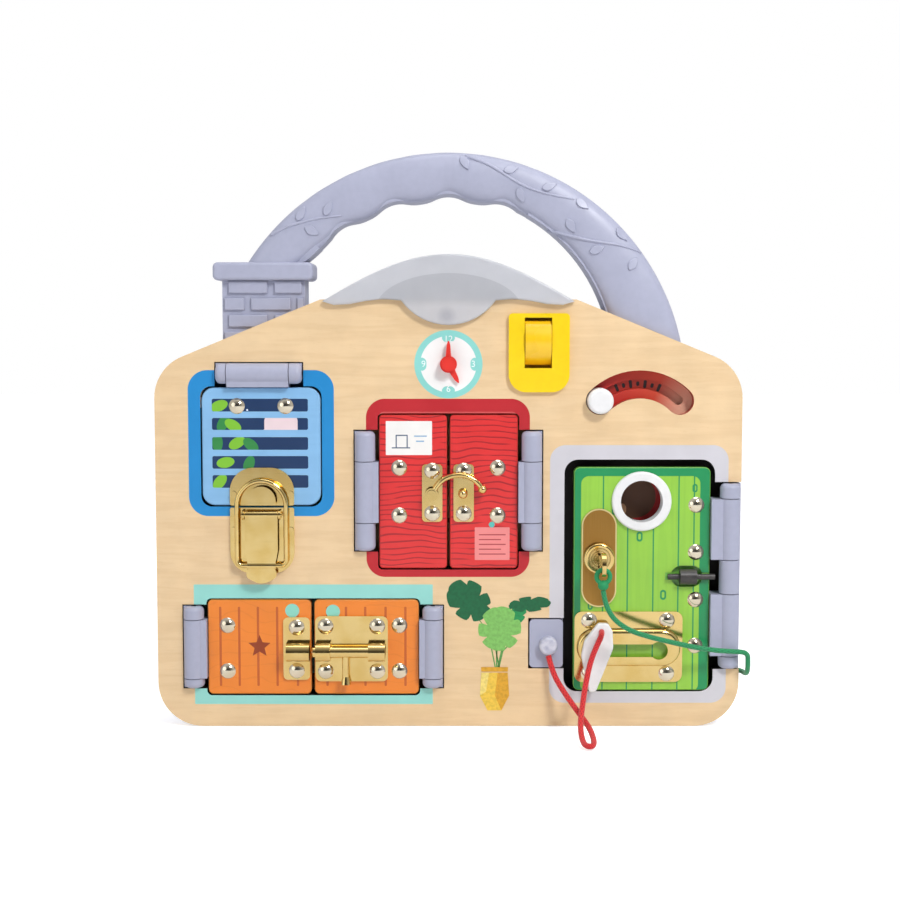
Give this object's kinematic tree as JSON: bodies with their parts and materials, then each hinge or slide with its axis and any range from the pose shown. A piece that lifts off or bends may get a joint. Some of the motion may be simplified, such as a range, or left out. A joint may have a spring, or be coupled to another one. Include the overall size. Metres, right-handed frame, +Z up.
{
  "type": "busy board",
  "caption": "House-shaped wooden busy board with an arch handle, a wavy light cap and small doors with hinges, latches, a lock with key, a bolt, a clock, a switch and sliders.",
  "frame": {"origin": "centre of the flat base, on the plane it stands on, half way between the wooden front and the plastic back", "axes": "+X to the right seen from the front, +Y to the back, +Z up; the painted front faces -Y"},
  "size_m": [0.3052, 0.0786, 0.2948],
  "materials": {
    "panel_wood": "satin",
    "grey_plastic": "satin",
    "blue_wood": "satin",
    "red_wood": "satin",
    "orange_wood": "satin",
    "green_wood": "satin",
    "yellow_plastic": "gloss",
    "amber_plastic": "gloss",
    "brass": "polished",
    "steel": "polished",
    "white_plastic": "gloss",
    "lens_plastic": "satin",
    "card_print": "matte",
    "dark_plastic": "satin",
    "red_plastic": "gloss",
    "board_green": "matte",
    "cell_label": "gloss",
    "red_cord": "matte",
    "green_cord": "matte"
  },
  "bodies": {
    "root": {"front_panel": "panel_wood", "rear_chassis": "grey_plastic", "handle_front_shell": "grey_plastic", "light_lens": "lens_plastic", "lamp_board": "board_green", "switch_housing": "yellow_plastic", "battery_cover": "grey_plastic", "batteries": "cell_label", "battery_contacts": "steel", "chassis_screws": "steel", "picture_cards": "card_print", "arc_track_plate": "card_print", "clock_spindle": "red_plastic", "hinge_pins": "steel", "latch_base_plate": "brass", "anchor_knob": "grey_plastic", "green_cord_end": "green_cord"},
    "rocker": {"switch_rocker": "amber_plastic"},
    "arc_slider": {"arc_knob": "white_plastic"},
    "minute_hand": {"minute_hand": "red_plastic"},
    "hour_hand": {"hour_hand": "red_plastic"},
    "blue_flap": {"blue_flap": "blue_wood", "blue_flap_hinge_leaf": "grey_plastic", "blue_flap_screws": "steel", "latch_catch": "brass"},
    "latch_lever": {"latch_lever": "brass"},
    "latch_loop": {"latch_loop": "brass"},
    "red_left": {"red_door_left": "red_wood", "red_door_left_hinge_leaf": "grey_plastic", "red_door_left_screws": "steel", "clasp_pivot_plate": "brass"},
    "red_right": {"red_door_right": "red_wood", "red_door_right_hinge_leaf": "grey_plastic", "red_door_right_screws": "steel", "clasp_post_plate": "brass"},
    "clasp_arm": {"clasp_arm": "brass"},
    "orange_left": {"orange_door_left": "orange_wood", "orange_door_left_hinge_leaf": "grey_plastic", "orange_door_left_screws": "steel", "bolt_keeper": "brass"},
    "orange_right": {"orange_door_right": "orange_wood", "orange_door_right_hinge_leaf": "grey_plastic", "orange_door_right_screws": "steel", "bolt_guide_plate": "brass"},
    "bolt": {"bolt_rod": "brass"},
    "green_door": {"green_door": "green_wood", "green_door_hinge_leaf": "grey_plastic", "green_door_screws": "steel", "peephole_ring": "white_plastic", "lock_escutcheon": "brass", "lock_housing": "brass", "chain_plate": "brass", "red_cord": "red_cord", "green_cord": "green_cord"},
    "lock_plug": {"lock_plug": "brass", "lock_cam": "steel"},
    "door_key": {"door_key": "brass", "key_cord_loop": "green_cord"},
    "chain_slider": {"chain_slider": "white_plastic"},
    "roller_bolt": {"roller_bolt": "dark_plastic"}
  },
  "joints": [
    {"name": "blue_flap_swing", "type": "hinge", "parent": "root", "child": "blue_flap", "pos_m": [-0.0954, -0.015, 0.1825], "axis": [-1, 0, 0], "range_deg": [0, 85]},
    {"name": "latch_lever_swing", "type": "hinge", "parent": "root", "child": "latch_lever", "pos_m": [-0.0954, -0.0192, 0.1105], "axis": [-1, 0, 0], "range_deg": [0, 94]},
    {"name": "latch_loop_swing", "type": "hinge", "parent": "latch_lever", "child": "latch_loop", "pos_m": [-0.0954, -0.0196, 0.0845], "axis": [1, 0, 0], "range_deg": [0, 230]},
    {"name": "red_left_swing", "type": "hinge", "parent": "root", "child": "red_left", "pos_m": [-0.04265, -0.015, 0.122], "axis": [0, 0, -1], "range_deg": [0, 110]},
    {"name": "red_right_swing", "type": "hinge", "parent": "root", "child": "red_right", "pos_m": [0.04265, -0.015, 0.122], "axis": [0, 0, 1], "range_deg": [0, 110]},
    {"name": "clasp_arm_swing", "type": "hinge", "parent": "red_left", "child": "clasp_arm", "pos_m": [-0.0086, -0.0192, 0.1209], "axis": [0, -1, 0], "range_deg": [0, 100]},
    {"name": "orange_left_swing", "type": "hinge", "parent": "root", "child": "orange_left", "pos_m": [-0.1312, -0.015, 0.0414], "axis": [0, 0, -1], "range_deg": [0, 110]},
    {"name": "orange_right_swing", "type": "hinge", "parent": "root", "child": "orange_right", "pos_m": [-0.0081, -0.015, 0.0414], "axis": [0, 0, 1], "range_deg": [0, 110]},
    {"name": "bolt_slide", "type": "slide", "parent": "orange_right", "child": "bolt", "axis": [1, 0, 0], "range_m": [-0.0053, 0.008]},
    {"name": "green_door_swing", "type": "hinge", "parent": "root", "child": "green_door", "pos_m": [0.1444, -0.015, 0.077], "axis": [0, 0, 1], "range_deg": [0, 90]},
    {"name": "lock_turn", "type": "hinge", "parent": "green_door", "child": "lock_plug", "pos_m": [0.0773, -0.015, 0.0878], "axis": [0, -1, 0], "range_deg": [-90, 0]},
    {"name": "key_pull", "type": "slide", "parent": "lock_plug", "child": "door_key", "axis": [0, -1, 0], "range_m": [0, 0.022]},
    {"name": "chain_slider_slide", "type": "slide", "parent": "green_door", "child": "chain_slider", "axis": [1, 0, 0], "range_m": [0, 0.0316]},
    {"name": "roller_bolt_slide", "type": "slide", "parent": "green_door", "child": "roller_bolt", "axis": [1, 0, 0], "range_m": [-0.003, 0.0012]},
    {"name": "arc_knob_swing", "type": "hinge", "parent": "root", "child": "arc_slider", "pos_m": [0.0977, -0.015, 0.1478], "axis": [0, 1, 0], "range_deg": [0, 89.2]},
    {"name": "minute_hand_turn", "type": "hinge", "parent": "root", "child": "minute_hand", "pos_m": [0, -0.015, 0.1872], "axis": [0, -1, 0], "continuous": true},
    {"name": "hour_hand_turn", "type": "hinge", "parent": "root", "child": "hour_hand", "pos_m": [0, -0.015, 0.1872], "axis": [0, -1, 0], "continuous": true},
    {"name": "rocker_tilt", "type": "hinge", "parent": "root", "child": "rocker", "pos_m": [0.04565, -0.0135, 0.198], "axis": [1, 0, 0], "range_deg": [-14, 0]}
  ],
  "couplings": [
    {"joint": "latch_lever_swing", "follows": "blue_flap_swing", "ratio": 1.1},
    {"joint": "latch_loop_swing", "follows": "blue_flap_swing", "ratio": 2.7},
    {"joint": "red_right_swing", "follows": "red_left_swing", "ratio": 1}
  ]
}
